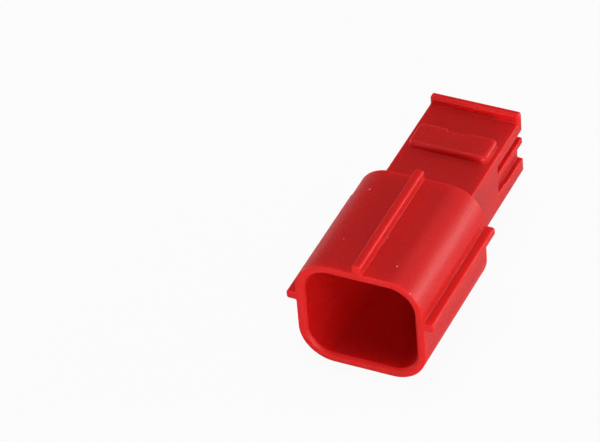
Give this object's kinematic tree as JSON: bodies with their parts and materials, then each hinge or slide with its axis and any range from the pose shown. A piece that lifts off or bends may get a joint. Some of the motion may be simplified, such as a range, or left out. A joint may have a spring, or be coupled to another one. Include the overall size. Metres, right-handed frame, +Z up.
{
  "type": "automotive connector",
  "caption": "Moulded plastic tab-connector housing: open rounded shroud with locating ribs and latch nub, and a rectangular rear block with terminal cavities, side slots, lock pad and end lip.",
  "frame": {"origin": "middle of the bounding box's base, on the surface that the two foot ribs lie on", "axes": "+Z up from the foot ribs to the single top rib, -Y out of the mating mouth, +Y out of the wire end, X across"},
  "size_m": [0.0192, 0.037, 0.0177],
  "materials": {
    "housing": "satin moulded red with a very fine grain"
  },
  "bodies": {
    "root": {"housing": "housing"}
  },
  "joints": []
}
